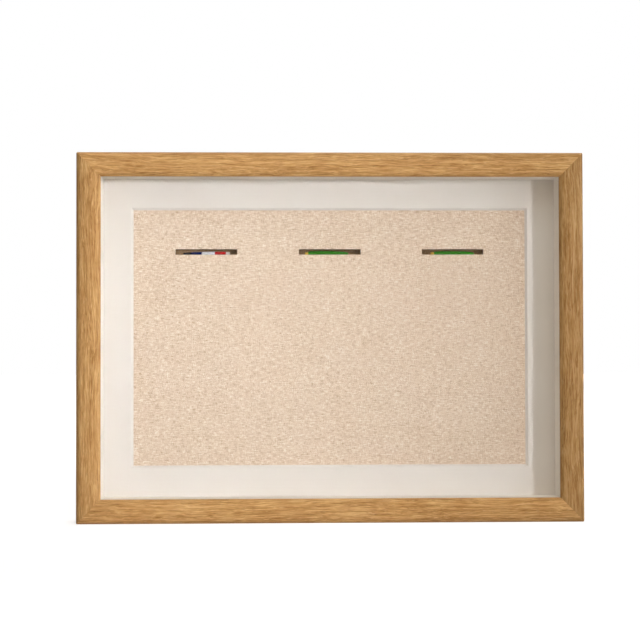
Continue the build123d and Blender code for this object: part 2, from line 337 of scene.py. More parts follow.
def grosgrain(name, bands):
    """Ribbed ribbon. bands are (where it ends as a share of the width, colour), across the cloth's width."""
    rib_pitch = 0.9 * MM
    band_edge = 0.006
    f = Finish(name, Specular_IOR_Level=0.1)
    across, along, unused = f.split(f.add("ShaderNodeUVMap", uv_map="cloth").outputs[0])
    rib = f.math("ABSOLUTE", f.math("SINE", f.times(along, math.pi / rib_pitch)))
    yarn = f.noise(f.joined(f.times(across, 210), f.times(along, 260)))
    colour = bands[-1][1]
    for limit, band in reversed(bands[:-1]):
        colour = f.mix(f.span(across, limit + band_edge, limit - band_edge), colour, band)
    # shade darkens the colour between the ribs, which is painted shade, and along some yarns, which is their
    # own tone.
    shade = f.sum(f.span(rib, 0.0, 0.5, 0.4, 0.0), f.span(yarn, 0.35, 0.65, 0.18, 0.0))
    painted_rib_shade = (0.01, 0.01, 0.01, 1.0)
    colour = f.mix(shade, colour, painted_rib_shade)
    roughness = f.span(yarn, 0.3, 0.7, 0.5, 0.7)
    f.set(Base_Color=colour, Roughness=roughness, Normal=f.bump(rib, 0.18 * MM, strength=0.8))
    return f.material


def fibreboard(name, pale, dark):
    """Pressed brown board: short fibres in all directions and a few dark flecks."""
    f = Finish(name, Specular_IOR_Level=0.25)
    fibres = f.noise(f.place, 1400, detail=4, roughness=0.65, distortion=1.4)
    cloud = f.noise(f.place, 60, detail=3)
    fleck = f.span(f.noise(f.place, 900, detail=1), 0.68, 0.76)
    shade = f.blend(0.3, fibres, cloud)
    colour = f.mix(f.span(shade, 0.38, 0.62), dark, pale)
    colour = f.mix(f.times(fleck, 0.5), colour, tint(84, 60, 40))
    roughness = f.span(fibres, 0.3, 0.7, 0.9, 0.72)
    f.set(Base_Color=colour, Roughness=roughness, Normal=f.bump(fibres, 0.05 * MM, strength=0.6))
    return f.material


def plated(name, colour, roughness, grain):
    """Plated sheet metal or wire: fine rolling marks, a little blotching and small dents."""
    f = Finish(name, Metallic=1.0)
    rolled = f.noise(f.scaled(f.place, grain), detail=3, roughness=0.6)
    blotch = f.noise(f.place, 420, detail=3)
    dull = [share * 0.72 for share in colour[:3]] + [1.0]
    tone = f.mix(f.span(blotch, 0.35, 0.7, 0.0, 0.35), colour, dull)
    worn = f.sum(f.times(rolled, 0.16), f.times(blotch, 0.1), roughness - 0.13)
    f.set(Base_Color=tone, Roughness=worn, Normal=f.bump(f.sum(rolled, blotch), 0.03 * MM, strength=0.6))
    return f.material


def rubber(name):
    """Moulded rubber with a fine matt skin."""
    f = Finish(name, Specular_IOR_Level=0.4)
    skin = f.noise(f.place, 3800, detail=2)
    dust = f.noise(f.place, 500, detail=3)
    colour = f.mix(f.span(dust, 0.4, 0.75, 0.0, 0.5), tint(38, 37, 36), tint(74, 71, 68))
    roughness = f.span(dust, 0.3, 0.7, 0.55, 0.8)
    f.set(Base_Color=colour, Roughness=roughness, Normal=f.bump(skin, 0.03 * MM, strength=0.5))
    return f.material


def paper_tape(name):
    """Cream crepe tape with fine creases across it."""
    f = Finish(name, Specular_IOR_Level=0.3)
    crease = f.noise(f.scaled(f.place, (3200, 3200, 260)), detail=3)
    # The creases are painted darker than the rest of the tape: painted shade.
    colour = f.mix(f.span(crease, 0.3, 0.7), tint(214, 196, 152), tint(234, 220, 184))
    roughness = f.span(crease, 0.3, 0.7, 0.7, 0.55)
    f.set(Base_Color=colour, Roughness=roughness, Normal=f.bump(crease, 0.06 * MM, strength=0.7))
    return f.material


def clear_glazing(name):
    """Clear glazing with a thin coat against glare: it shows what is behind it and mirrors very little."""
    f = Finish(name)
    faint_green = (0.995, 0.998, 0.995, 1.0)
    coated_index = 1.13
    smear = f.noise(f.place, 14, detail=3)
    mirror = f.add("ShaderNodeBsdfGlossy", {"Roughness": f.span(smear, 0.3, 0.7, 0.02, 0.06)})
    through = f.add("ShaderNodeBsdfTransparent", {"Color": faint_green})
    share = f.add("ShaderNodeFresnel", {"IOR": coated_index})
    pane = f.add("ShaderNodeMixShader", {0: share.outputs[0], 1: through.outputs[0], 2: mirror.outputs[0]})
    f.feed(f.tree.nodes["Material Output"].inputs["Surface"], pane.outputs[0])
    f.tree.nodes.remove(f.shader)
    return f.material


# Each plank's last value is painted light and shade: the rails palest, and the right stile deepest, where the
# light falls off.
RAIL_OAK_TOP = oak("oak_top", "x", plank_shift=3.1, slope=0.012, painted_light_and_shade=1.14)
RAIL_OAK_BOTTOM = oak("oak_bottom", "x", plank_shift=7.7, slope=-0.006, painted_light_and_shade=1.15)
STILE_OAK_LEFT = oak("oak_left", "z", plank_shift=12.3, slope=0.005, painted_light_and_shade=1.08)
STILE_OAK_RIGHT = oak("oak_right", "z", plank_shift=19.4, slope=-0.004, painted_light_and_shade=0.89)
MOUNT_WHITE = card("mount_white", tint(237, 231, 222), fleck=tint(232, 225, 215))
# The liner walls are the mount's white board, painted paler as painted light on their shaded faces.
LINER_WHITE_WITH_PAINTED_LIGHT = card("liner_white", tint(253, 248, 241), fleck=tint(249, 243, 235))
LINEN = slub_linen("slub_linen")
STRIPED_RIBBON = grosgrain("striped_ribbon", [
    (0.17, tint(10, 12, 28)),
    (0.40, tint(4, 26, 90)),
    (0.68, tint(247, 244, 252)),
    (0.92, tint(204, 26, 26)),
    (1.00, tint(248, 238, 236)),
])
GREEN_RIBBON = grosgrain("green_ribbon", [
    (0.07, tint(246, 206, 92)),
    (1.00, tint(62, 156, 32)),
])
BACKING = fibreboard("back_fibreboard", pale=tint(186, 148, 107), dark=tint(160, 121, 83))
# The slotted board is painted much darker than the back board: painted shade on the slot walls, which are
# seen only deep in the slots.
BOARD_CORE_WITH_PAINTED_SHADE = fibreboard("slotted_fibreboard", pale=tint(124, 92, 64), dark=tint(100, 70, 46))
PACKING = fibreboard("packing_card", pale=tint(196, 172, 138), dark=tint(176, 150, 116))
TAPE = paper_tape("paper_tape")
ZINC = plated("zinc_plate", tint(158, 160, 165), roughness=0.4, grain=(900, 900, 5200))
NICKEL = plated("nickel_plate", tint(176, 169, 156), roughness=0.3, grain=(5200, 900, 900))
WEDGE_STEEL = plated("wedge_steel", tint(150, 150, 152), roughness=0.42, grain=(900, 5200, 900))
RUBBER = rubber("bumper_rubber")
GLAZING = clear_glazing("glazing")


# Shapes grown by rule


class Shape(NodeTree):
    """A Geometry Nodes tree with named sizes. It starts from the places given to it, if any."""

    def __init__(self, name, sizes):
        super().__init__(bpy.data.node_groups.new(name, "GeometryNodeTree"))
        sockets = self.tree.interface
        sockets.new_socket("Shape", in_out="OUTPUT", socket_type="NodeSocketGeometry")
        sockets.new_socket("Places", in_out="INPUT", socket_type="NodeSocketGeometry")
        for size in sizes:
            sockets.new_socket(size, in_out="INPUT", socket_type="NodeSocketFloat")
        sockets.new_socket("Finish", in_out="INPUT", socket_type="NodeSocketMaterial")
        self.asked = self.add("NodeGroupInput").outputs

    def made(self, kind, inputs=None, **settings):
        """The first output of a new node."""
        return self.add(kind, inputs, **settings).outputs[0]

    def together(self, *parts):
        node = self.add("GeometryNodeJoinGeometry")
        for part in parts:
            self.tree.links.new(part, node.inputs[0])
        return node.outputs[0]

    def welded(self, mesh):
        return self.made("GeometryNodeMergeByDistance", {"Geometry": mesh, "Distance": WELD})

    def line(self, start, end):
        return self.made("GeometryNodeCurvePrimitiveLine", {"Start": start, "End": end})

    def arc(self, start, middle, end, steps):
        inputs = {"Resolution": steps + 1, "Start": start, "Middle": middle, "End": end}
        return self.made("GeometryNodeCurveArc", inputs, mode="POINTS")

    def bowed(self, start, end, bulge, steps):
        """An arc that bulges to the right of its chord, seen with Z towards the eye."""
        chord = self.vector("SUBTRACT", end, start)
        aside = self.vector("NORMALIZE", self.vector("CROSS_PRODUCT", chord, (0, 0, 1)))
        half_way = self.vector("MULTIPLY", self.vector("ADD", start, end), (0.5, 0.5, 0.5))
        bulge = self.joined(bulge, bulge, bulge)
        middle = self.vector("ADD", half_way, self.vector("MULTIPLY", aside, bulge))
        return self.arc(start, middle, end, steps)

    def chain(self, curves):
        """Curves that meet at their ends, as one run of welded edges."""
        return self.welded(self.made("GeometryNodeCurveToMesh", {"Curve": self.together(*curves)}))

    def prism(self, curves, height):
        """A closed outline in the XY plane, filled and raised along Z."""
        outline = self.made("GeometryNodeMeshToCurve", {"Mesh": self.chain(curves)})
        foot = self.made("GeometryNodeFillCurve", {"Curve": outline}, mode="NGONS")
        raised = {"Mesh": foot, "Offset": self.joined(z=height), "Offset Scale": 1.0, "Individual": False}
        body = self.made("GeometryNodeExtrudeMesh", raised, mode="FACES")
        return self.welded(self.together(body, self.flipped(foot)))

    def flipped(self, mesh):
        return self.made("GeometryNodeFlipFaces", {"Mesh": mesh})

    def shifted(self, mesh, translation, rotation=(0, 0, 0)):
        inputs = {"Geometry": mesh, "Translation": translation, "Rotation": rotation}
        return self.made("GeometryNodeTransform", inputs)

    def block(self, x, y, z):
        """A box round the origin."""
        return self.made("GeometryNodeMeshCube", {"Size": self.joined(x, y, z)})

    def rod(self, radius, length, sides):
        """A round bar along Y, round the origin."""
        inputs = {"Vertices": sides, "Radius": radius, "Depth": length}
        return self.shifted(self.made("GeometryNodeMeshCylinder", inputs), (0, 0, 0), UPRIGHT)

    def turned(self, curves, sides):
        """A profile of radius along X and height along Y, open at the axis, turned round the Y axis."""
        profile = self.made("GeometryNodeMeshToCurve", {"Mesh": self.chain(curves)})
        profile = self.made("GeometryNodeCurveToMesh", {"Curve": profile})
        count = self.made("GeometryNodeAttributeDomainSize", {"Geometry": profile}, component="MESH")
        net = {"Size X": 1.0, "Size Y": 1.0, "Vertices X": count, "Vertices Y": sides + 1}
        grid = self.made("GeometryNodeMeshGrid", net)
        place = self.made("GeometryNodeInputPosition")
        x, y, unused = self.split(place)
        step = self.math("ROUND", self.times(self.sum(x, 0.5), self.minus(count, 1.0)))
        sample = self.add("GeometryNodeSampleIndex", data_type="FLOAT_VECTOR")
        self.feed(sample.inputs["Geometry"], profile)
        self.feed(sample.inputs["Value"], place)
        self.feed(sample.inputs["Index"], step)
        radius, height, unused = self.split(sample.outputs[0])
        turn = self.times(self.sum(y, 0.5), 2 * math.pi)
        round_x = self.times(radius, self.math("COSINE", turn))
        round_z = self.times(radius, self.math("SINE", turn))
        spun = {"Geometry": grid, "Position": self.joined(round_x, height, round_z)}
        return self.welded(self.made("GeometryNodeSetPosition", spun))

    def without(self, mesh, cutters):
        """The mesh with the cutters taken out of it. The cutters may cross one another."""
        node = self.add("GeometryNodeMeshBoolean", operation="DIFFERENCE", solver="EXACT")
        self.feed(node.inputs["Mesh 1"], mesh)
        self.feed(node.inputs["Mesh 2"], cutters)
        self.feed(node.inputs["Self Intersection"], True)
        return node.outputs[0]

    def close(self, mesh):
        """Shades blunt edges smooth, makes instances real, and paints the mesh."""
        angle = self.made("GeometryNodeInputMeshEdgeAngle")
        soft = self.math("LESS_THAN", angle, SMOOTH_ANGLE)
        shaded = {"Geometry": mesh, "Shade Smooth": soft}
        mesh = self.made("GeometryNodeSetShadeSmooth", shaded, domain="EDGE")
        mesh = self.made("GeometryNodeRealizeInstances", {"Geometry": mesh})
        mesh = self.made("GeometryNodeSetMaterial", {"Geometry": mesh, "Material": self.asked["Finish"]})
        self.feed(self.add("NodeGroupOutput").inputs[0], mesh)

    def grow(self, name, material, sizes, places=(), turn=None):
        """The tree's result as one plain mesh object, turned and moved into place if turn is given."""
        mesh = bpy.data.meshes.new(name)
        mesh.from_pydata([tuple(place) for place in places], [], [])
        piece = bpy.data.objects.new(name, mesh)
        bpy.context.scene.collection.objects.link(piece)
        maker = piece.modifiers.new("shape", "NODES")
        maker.node_group = self.tree
        values = dict(sizes, Finish=material)
        for socket in self.tree.interface.items_tree:
            if socket.in_out == "INPUT" and socket.name in values:
                maker[socket.identifier] = values[socket.name]
        graph = bpy.context.evaluated_depsgraph_get()
        grown = bpy.data.meshes.new_from_object(piece.evaluated_get(graph), depsgraph=graph)
        grown.name = name
        piece.modifiers.remove(maker)
        piece.data = grown
        if turn is not None:
            grown.transform(turn)
        return piece


# Meshes


def new_piece(name, data, material):
    """A mesh object at the origin, with its place in its points."""
    data.materials.append(material)
    piece = bpy.data.objects.new(name, data)
    bpy.context.scene.collection.objects.link(piece)
    return piece


def piece_of_points(name, points, faces, material, uvs=None):
    """A piece from its points and faces. uvs, if given, map each point to flat cloth."""
    data = bpy.data.meshes.new(name)
    data.from_pydata(points, [], faces)
    if uvs:
        layer = data.uv_layers.new(name="cloth")
        for loop in data.loops:
            layer.data[loop.index].uv = uvs[loop.vertex_index]
    return new_piece(name, data, material)


def finished_piece(name, mesh, material):
    """A piece from a worked mesh, which isn't used again."""
    data = bpy.data.meshes.new(name)
    mesh.to_mesh(data)
    mesh.free()
    return new_piece(name, data, material)


def set_material(node, material):
    """Gives a CAD node its finish."""
    slots = nodes[node].data.materials
    slots.clear()
    slots.append(material)


# Mouldings


MOULDING = {
    "Face Width": face_width,
    "Frame Depth": back_y - front_y,
    "Wall": face_width - LIP_COVER - REBATE_GAP,
    "Lip Depth": glazing_y - front_y,
    "Shoulder Width": 5.4 * MM,
    "Shoulder Drop": 4.4 * MM,
    "Shoulder Bulge": 1.15 * MM,
    "Crown Rise": 0.5 * MM,
    "Arris Width": 2.6 * MM,
    "Arris Drop": 1.9 * MM,
    "Arris Bulge": 0.28 * MM,
    "Back Ease": 0.6 * MM,
    "Corner Ease": 0.9 * MM,
    "Mitre Gap": MITRE_GAP,
    "Wedge Leg": 3.25 * MM,
    "Wedge Slot": 0.7 * MM,
    "Wedge Depth": 10.25 * MM,
    "Pilot Radius": SCREW_RADIUS + PILOT_FIT,
    "Pilot Depth": SCREW_LENGTH,
}


def mitred_moulding():
    """One oak moulding along X, outer edge at z = 0, front at y = 0, with slots for its corner wedges."""
    s = Shape("mitred_moulding", ["Length", *MOULDING])
    size = s.asked
    width = size["Face Width"]
    depth = size["Frame Depth"]
    crown = size["Crown Rise"]
    shoulder_foot = s.joined(0.0, size["Shoulder Drop"])
    shoulder_top = s.joined(size["Shoulder Width"], crown)
    arris_top = s.joined(s.minus(width, size["Arris Width"]), crown)
    arris_foot = s.joined(width, s.sum(crown, size["Arris Drop"]))
    corners = [
        arris_foot,
        s.joined(width, size["Lip Depth"]),
        s.joined(size["Wall"], size["Lip Depth"]),
        s.joined(size["Wall"], depth),
        s.joined(size["Back Ease"], depth),
        s.joined(0.0, s.minus(depth, size["Back Ease"])),
        shoulder_foot,
    ]
    section = [
        s.bowed(shoulder_foot, shoulder_top, size["Shoulder Bulge"], steps=14),
        s.bowed(shoulder_top, arris_top, crown, steps=8),
        s.bowed(arris_top, arris_foot, size["Arris Bulge"], steps=6),
    ]
    section += [s.line(start, end) for start, end in zip(corners, corners[1:])]
    bar = s.prism(section, 1.0)

    # The bar's unit length becomes the real one: each end is mitred, and rounded at the outer corner.
    across, into, share = s.split(s.made("GeometryNodeInputPosition"))
    half = s.times(size["Length"], 0.5)
    mitre = s.minus(s.minus(half, s.times(size["Mitre Gap"], math.sqrt(0.5))), across)
    ease = size["Corner Ease"]
    inset = s.minus(ease, s.math("MINIMUM", across, ease))
    reach = s.math("SQRT", s.minus(s.times(ease, ease), s.times(inset, inset)))
    rounded = s.sum(s.minus(half, ease), reach)
    end = s.math("MINIMUM", mitre, rounded)
    side = s.minus(s.times(share, 2.0), 1.0)
    placed = {"Geometry": bar, "Position": s.joined(s.times(end, side), into, across)}
    bar = s.flipped(s.made("GeometryNodeSetPosition", placed))

    cutters = []
    over = 1.0 * MM
    slot_depth = s.sum(size["Wedge Depth"], over)
    slot_middle = s.minus(depth, s.times(s.minus(size["Wedge Depth"], over), 0.5))
    for end_side in (-1, 1):
        for point_inset in WEDGE_INSETS:
            for angle in WEDGE_LEG_ANGLES:
                leg = s.block(size["Wedge Leg"], slot_depth, size["Wedge Slot"])
                leg = s.shifted(leg, s.joined(s.times(size["Wedge Leg"], 0.5)))
                point = s.times(s.minus(half, point_inset), end_side)
                heading = math.radians(angle if end_side > 0 else 180 - angle)
                leg = s.shifted(leg, s.joined(point, slot_middle, point_inset), (0, -heading, 0))
                cutters.append(leg)
    pilot_length = s.sum(size["Pilot Depth"], over)
    pilot_middle = s.minus(s.sum(depth, over), s.times(pilot_length, 0.5))
    pilot = s.shifted(s.rod(size["Pilot Radius"], pilot_length, sides=24), s.joined(0.0, pilot_middle))
    holes = s.made("GeometryNodeInstanceOnPoints", {"Points": size["Places"], "Instance": pilot})
    cutters.append(s.made("GeometryNodeRealizeInstances", {"Geometry": holes}))
    s.close(s.without(bar, s.together(*cutters)))
    return s


def hang_mouldings(screws):
    """The four mouldings in their places. screws are all the screw places in the back of the frame."""
    shape = mitred_moulding()
    middle = Matrix.Translation((0, front_y, centre_z))
    for node, angle, material in (
        ("rail_bottom", 0, RAIL_OAK_BOTTOM),
        ("rail_top", 180, RAIL_OAK_TOP),
        ("stile_left", 90, STILE_OAK_LEFT),
        ("stile_right", -90, STILE_OAK_RIGHT),
    ):
        length, across = outer_width, outer_height
        if node.startswith("stile"):
            length, across = across, length
        turn = middle @ Matrix.Rotation(math.radians(angle), 4, "Y") @ Matrix.Translation((0, 0, -across / 2))
        own = [turn.inverted() @ place for place in screws]
        own = [Vector((place.x, 0, place.z)) for place in own if 0 < place.z < face_width]
        piece = shape.grow(f"oak_{node}", material, dict(MOULDING, Length=length), own, turn)
        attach(piece, "frame")
        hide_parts(node)


# Hardware


SCREW = {
    "Head Radius": HEAD_RADIUS,
    "Head Height": HEAD_HEIGHT,
    "Head Edge": 0.55 * MM,
    "Shank Radius": SCREW_RADIUS,
    "Screw Length": SCREW_LENGTH,
    "Recess Span": 3.1 * MM,
    "Recess Width": 0.75 * MM,
    "Recess Depth": 1.15 * MM,
}


def cross_screws():
    """Pan-headed screws along Y, one at each place, each turned its own way, with a tapered cross recess."""
    s = Shape("cross_screws", SCREW)
    size = s.asked
    radius = size["Head Radius"]
    height = size["Head Height"]
    dome_reach = 0.68
    dome_rise = 0.86
    top = s.joined(0.0, height)
    dome = s.joined(s.times(radius, dome_reach), s.times(height, dome_rise))
    rim = s.joined(radius, size["Head Edge"])
    point_y = s.times(size["Screw Length"], -1.0)
    corners = [
        rim,
        s.joined(radius),
        s.joined(size["Shank Radius"]),
        s.joined(size["Shank Radius"], point_y),
        s.joined(0.0, point_y),
    ]
    profile = [s.arc(top, dome, rim, steps=8)]
    profile += [s.line(start, end) for start, end in zip(corners, corners[1:])]
    screw = s.turned(profile, sides=40)

    # The recess is cut by two tapered bars, one after the other. The second is a little shallower, so that
    # the floors of the two cuts don't lie in one plane.
    narrow_end = 0.45
    wide_end = 1.25
    depth = size["Recess Depth"]
    x, y, z = s.split(s.made("GeometryNodeInputPosition"))
    taper = s.span(y, s.times(depth, -1.0), depth, narrow_end, wide_end)
    tapered = s.joined(s.times(x, taper), y, s.times(z, taper))
    for bar_x, bar_z, bar_height in (
        ("Recess Span", "Recess Width", s.times(depth, 2.0)),
        ("Recess Width", "Recess Span", s.times(depth, 1.9)),
    ):
        bar = s.block(size[bar_x], bar_height, size[bar_z])
        bar = s.made("GeometryNodeSetPosition", {"Geometry": bar, "Position": tapered})
        screw = s.without(screw, s.shifted(bar, top))

    turn = s.times(s.chance(s.made("GeometryNodeInputIndex"), 4.0), math.pi)
    spin = s.made("FunctionNodeEulerToRotation", {"Euler": s.joined(0.0, turn)})
    set_out = {"Points": size["Places"], "Instance": screw, "Rotation": spin}
    s.close(s.made("GeometryNodeInstanceOnPoints", set_out))
    return s


RING = {
    "Bar Half": 3.4 * MM,
    "Corner Radius": 1.2 * MM,
    "Leg": 3.2 * MM,
    "Wire Radius": 0.9 * MM,
}

# The ring hangs a little out of upright, because its bow leans on the strap.
RING_TILT = math.radians(6.95)


def wire_ring():
    """A D-ring of round wire in the XZ plane, its bar along X through the origin and its bow below."""
    s = Shape("wire_ring", RING)
    size = s.asked
    bar = size["Bar Half"]
    radius = size["Corner Radius"]
    half = s.sum(bar, radius)
    foot = s.sum(radius, size["Leg"])
    slant = s.times(radius, math.cos(math.pi / 4))

    def at(side, aside, down):
        """A place on one side of the middle, so far aside and so far below the bar."""
        return s.joined(s.times(aside, side), s.times(down, -1.0))

    path = [s.line(at(-1.0, bar, 0.0), at(1.0, bar, 0.0))]
    for side in (-1.0, 1.0):
        corner = at(side, s.sum(bar, slant), s.minus(radius, slant))
        path.append(s.arc(at(side, bar, 0.0), corner, at(side, half, radius), steps=8))
        path.append(s.line(at(side, half, radius), at(side, half, foot)))
    lowest = at(1.0, 0.0, s.sum(foot, half))
    path.append(s.arc(at(1.0, half, foot), lowest, at(-1.0, half, foot), steps=36))
    centre_line = s.made("GeometryNodeMeshToCurve", {"Mesh": s.chain(path)})
    wire = {"Resolution": 20, "Radius": size["Wire Radius"]}
    wire = s.made("GeometryNodeCurvePrimitiveCircle", wire, mode="RADIUS")
    ring = s.made("GeometryNodeCurveToMesh", {"Curve": centre_line, "Profile Curve": wire})
    s.close(s.shifted(ring, (0, 0, 0), UPRIGHT))
    return s


BUTTON = {
    "Eye Radius": 4.3 * MM,
    "Tip Radius": 2.8 * MM,
    "Reach": 11.0 * MM,
    "Thickness": 1.2 * MM,
    "Edge Ease": 0.22 * MM,
    "Hole Radius": 1.58 * MM,
}


def turn_button():
    """A flat button along X from its eye at the origin, with rolled edges and a hole for its screw."""
    s = Shape("turn_button", BUTTON)
    size = s.asked
    thick = size["Thickness"]
    ease = size["Edge Ease"]

    # Each rim of the plate, as how far it is drawn in and how high it lies.
    rims = ((ease, 0.0), (0.0, ease), (0.0, s.minus(thick, ease)), (ease, thick))
    rings = []
    for radius, reach in ((size["Eye Radius"], 0.0), (size["Tip Radius"], size["Reach"])):
        for shrink, height in rims:
            circle = {"Vertices": 56, "Radius": s.minus(radius, shrink)}
            circle = s.made("GeometryNodeMeshCircle", circle)
            rings.append(s.shifted(circle, s.joined(reach, height), UPRIGHT))
    plate = s.made("GeometryNodeConvexHull", {"Geometry": s.together(*rings)})
    hole = s.rod(size["Hole Radius"], s.times(thick, 4.0), sides=40)
    s.close(s.without(plate, s.shifted(hole, s.joined(0.0, thick))))
    return s


BUMPER = {
    "Pad Radius": 4.5 * MM,
    "Pad Height": 4.2 * MM,
    "Shoulder": 1.2 * MM,
    "Foot Flare": 0.25 * MM,
}


def rubber_pad():
    """A round rubber buffer along Y, with a rounded shoulder and a soft moulding line near its foot."""
    s = Shape("rubber_pad", BUMPER)
    size = s.asked
    radius = size["Pad Radius"]
    height = size["Pad Height"]
    shoulder = size["Shoulder"]
    flare = size["Foot Flare"]
    slant = s.times(shoulder, 1 - math.cos(math.pi / 4))
    waist = s.minus(radius, flare)
    top_edge = s.joined(s.minus(waist, shoulder), height)
    bend = s.joined(s.minus(waist, slant), s.minus(height, slant))
    shoulder_foot = s.joined(waist, s.minus(height, shoulder))
    corners = [
        shoulder_foot,
        s.joined(waist, s.times(flare, 3.0)),
        s.joined(radius, s.times(flare, 2.0)),
        s.joined(radius),
        s.joined(),
    ]
    profile = [s.line(s.joined(0.0, height), top_edge), s.arc(top_edge, bend, shoulder_foot, steps=8)]
    profile += [s.line(start, end) for start, end in zip(corners, corners[1:])]
    s.close(s.turned(profile, sides=56))
    return s


def softened(node, name, material, body, edge):
    """A copy of a CAD node with its faces joined up and its sharp edges eased."""
    mesh = bmesh.new()
    mesh.from_mesh(nodes[node].data)
    mesh.transform(nodes[node].matrix_world)
    bmesh.ops.remove_doubles(mesh, verts=mesh.verts, dist=WELD)
    flat_angle = math.radians(0.5)
    bmesh.ops.dissolve_limit(mesh, angle_limit=flat_angle, verts=mesh.verts, edges=mesh.edges)
    piece = finished_piece(name, mesh, material)
    piece.data.shade_smooth()
    piece.data.set_sharp_from_angle(angle=SMOOTH_ANGLE)
    easing = piece.modifiers.new("eased_edges", "BEVEL")
    easing.width = edge
    easing.segments = 2
    easing.limit_method = "ANGLE"
    easing.angle_limit = math.radians(40)
    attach(piece, body)
    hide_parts(node)


def drive_screws():
    """The screws of the turn buttons and the strap hangers. It gives back all their places."""
    screws = cross_screws()
    head_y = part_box("turn_button_screws")[1].y - HEAD_HEIGHT
    button_places = [Vector((joints[name].x, head_y, joints[name].z)) for name in button_names]
    strap_low, strap_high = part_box("hanger_screws")
    strap_head_y = strap_high.y - HEAD_HEIGHT
    strap_x = strap_high.x - HEAD_RADIUS
    strap_z = (strap_low.z + strap_high.z) / 2
    strap_places = [Vector((side * strap_x, strap_head_y, strap_z)) for side in (-1, 1)]
    for node, places in (("turn_button_screws", button_places), ("hanger_screws", strap_places)):
        piece = screws.grow(f"cross_{node}", NICKEL, SCREW, places)
        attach(piece, "frame")
        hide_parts(node)
    return button_places + strap_places


def fit_buttons():
    """The turn buttons, each pointing over the back board."""
    button = turn_button()
    pointing = {"top": -90, "bottom": 90, "side_left": 0, "side_right": 180}
    for name in button_names:
        heading = next(angle for word, angle in pointing.items() if word in name)
        turn = Matrix.Translation(joints[name]) @ Matrix.Rotation(math.radians(-heading), 4, "Y")
        piece = button.grow(f"zinc_{name}", ZINC, BUTTON, turn=turn)
        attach(piece, name)
        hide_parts(name)


def fit_hangers_and_bumpers():
    """A strap hanger with its ring, and a wall bumper below it, at each side."""
    ring = wire_ring()
    pad = rubber_pad()
    for side in ("left", "right"):
        name = f"hanger_ring_{side}"
        turn = Matrix.Translation(joints[name]) @ Matrix.Rotation(RING_TILT, 4, "X")
        piece = ring.grow(f"nickel_{name}", NICKEL, RING, turn=turn)
        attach(piece, name)
        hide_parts(name)
        softened(f"hanger_strap_{side}", f"nickel_strap_{side}", NICKEL, "frame", 0.14 * MM)
        low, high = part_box(f"wall_bumper_{side}")
        seat = Matrix.Translation(((low.x + high.x) / 2, low.y, (low.z + high.z) / 2))
        piece = pad.grow(f"rubber_bumper_{side}", RUBBER, BUMPER, turn=seat)
        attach(piece, "frame")
        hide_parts(f"wall_bumper_{side}")


# Linen


def linen_sheet():
    """The linen over the front and edges of its board, turned over the back and cut through at the slots."""
    sheet_low, sheet_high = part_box("linen_cover")
    half_wide = (sheet_high.x - sheet_low.x) / 2
    half_high = (sheet_high.z - sheet_low.z) / 2
    edge_depth = sheet_high.y - sheet_low.y
    slot_xs = (-SLOT_PITCH, 0.0, SLOT_PITCH)
    slot_ends = [x + side * SLOT_LENGTH / 2 for x in slot_xs for side in (-1, 1)]

    mesh = bmesh.new()
    columns = [-half_wide, *slot_ends, half_wide]
    rows = [centre_z - half_high, SLOT_Z - SLOT_HEIGHT / 2, SLOT_Z + SLOT_HEIGHT / 2, centre_z + half_high]
    grid = [[mesh.verts.new((x, sheet_low.y, z)) for x in columns] for z in rows]
    for level, (lower, upper) in enumerate(zip(grid, grid[1:])):
        for column in range(len(columns) - 1):
            is_slot = level == 1 and column % 2 == 1
            if not is_slot:
                mesh.faces.new((lower[column], lower[column + 1], upper[column + 1], upper[column]))

    sides = {}
    turns = {}

    def flap(edge, outward):
        """Folds cloth from one edge back along Y and then over the back, mitred with its neighbours."""
        along = (edge[-1].co - edge[0].co).normalized()
        mitres = {edge[0]: along, edge[-1]: -along}
        for corner in edge:
            if corner not in sides:
                shift = LINEN_TURN * mitres.get(corner, Vector())
                sides[corner] = mesh.verts.new(corner.co + Vector((0, edge_depth, 0)))
                turns[corner] = mesh.verts.new(sides[corner].co - LINEN_TURN * outward + shift)
        side = [sides[corner] for corner in edge]
        over = [turns[corner] for corner in edge]
        for near, far in ((edge, side), (side, over)):
            for place in range(len(edge) - 1):
                mesh.faces.new((near[place + 1], near[place], far[place], far[place + 1]))

    flap(grid[0], Vector((0, 0, -1)))
    flap(grid[-1][::-1], Vector((0, 0, 1)))
    flap([row[0] for row in grid][::-1], Vector((-1, 0, 0)))
    flap([row[-1] for row in grid], Vector((1, 0, 0)))

    bmesh.ops.recalc_face_normals(mesh, faces=mesh.faces)
    linen = finished_piece("linen_panel", mesh, LINEN)
    body = linen.modifiers.new("thickness", "SOLIDIFY")
    body.thickness = board_low.y - sheet_low.y
    body.offset = -1
    soft = linen.modifiers.new("soft_edges", "BEVEL")
    soft.width = 0.18 * MM
    soft.segments = 3
    soft.limit_method = "ANGLE"
    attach(linen, "frame")
    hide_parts("linen_cover")


# Ribbons


def arc(centre, radius, start, sweep, steps):
    """Points (y, z) round a centre, from start degrees through sweep degrees."""
    angles = [math.radians(start + sweep * step / steps) for step in range(steps + 1)]
    return [(centre[0] + radius * math.cos(a), centre[1] + radius * math.sin(a)) for a in angles]


